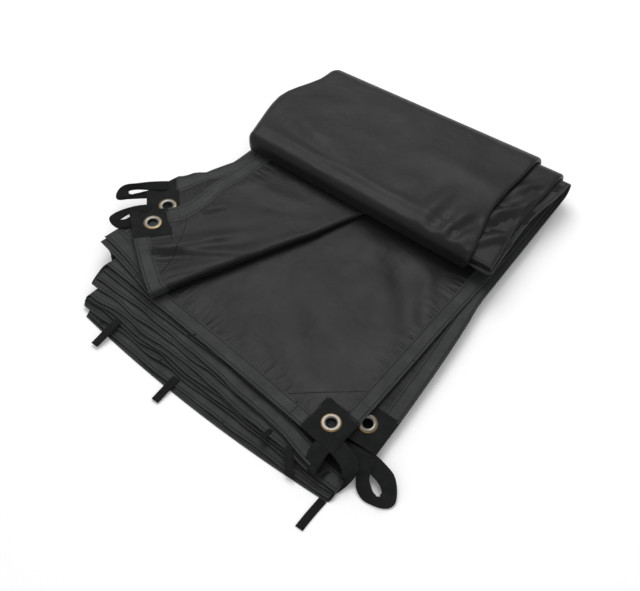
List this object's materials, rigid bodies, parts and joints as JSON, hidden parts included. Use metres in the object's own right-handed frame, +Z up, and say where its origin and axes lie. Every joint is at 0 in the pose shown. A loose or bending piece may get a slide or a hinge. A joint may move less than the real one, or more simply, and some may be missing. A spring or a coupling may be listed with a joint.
{
  "type": "folded tarp",
  "caption": "Folded rectangular tarp: a hemmed coated sheet laid back and forth and folded over, with corner eyelets, webbing loops and tape tabs.",
  "frame": {"origin": "middle of the underside of the folded pad", "axes": "+Z up, +Y along the pad towards its folded-over far end, +X to the side of its open corners"},
  "size_m": [0.5413, 0.6128, 0.0594],
  "materials": {
    "coated_cloth": "satin",
    "ribbed_webbing": "matte",
    "narrow_tape": "matte",
    "eyelet_metal": "satin"
  },
  "bodies": {
    "root": {"cloth": "coated_cloth", "corner_patch_front_top": "ribbed_webbing", "eyelet_front_top": "eyelet_metal", "corner_facing_front_top": "coated_cloth", "corner_loop_front_top": "ribbed_webbing", "corner_patch_front_low": "ribbed_webbing", "eyelet_front_low": "eyelet_metal", "corner_loop_front_low": "ribbed_webbing", "corner_patch_flap_top": "ribbed_webbing", "eyelet_flap_top": "eyelet_metal", "corner_facing_flap_top": "coated_cloth", "corner_loop_flap_top": "ribbed_webbing", "corner_patch_flap_low": "ribbed_webbing", "eyelet_flap_low": "eyelet_metal", "corner_loop_flap_low": "ribbed_webbing", "tie_tape_left": "narrow_tape", "tie_tape_middle": "narrow_tape", "tie_tape_right": "narrow_tape", "tie_tape_small": "narrow_tape", "tie_tape_hanging": "narrow_tape"}
  },
  "joints": []
}
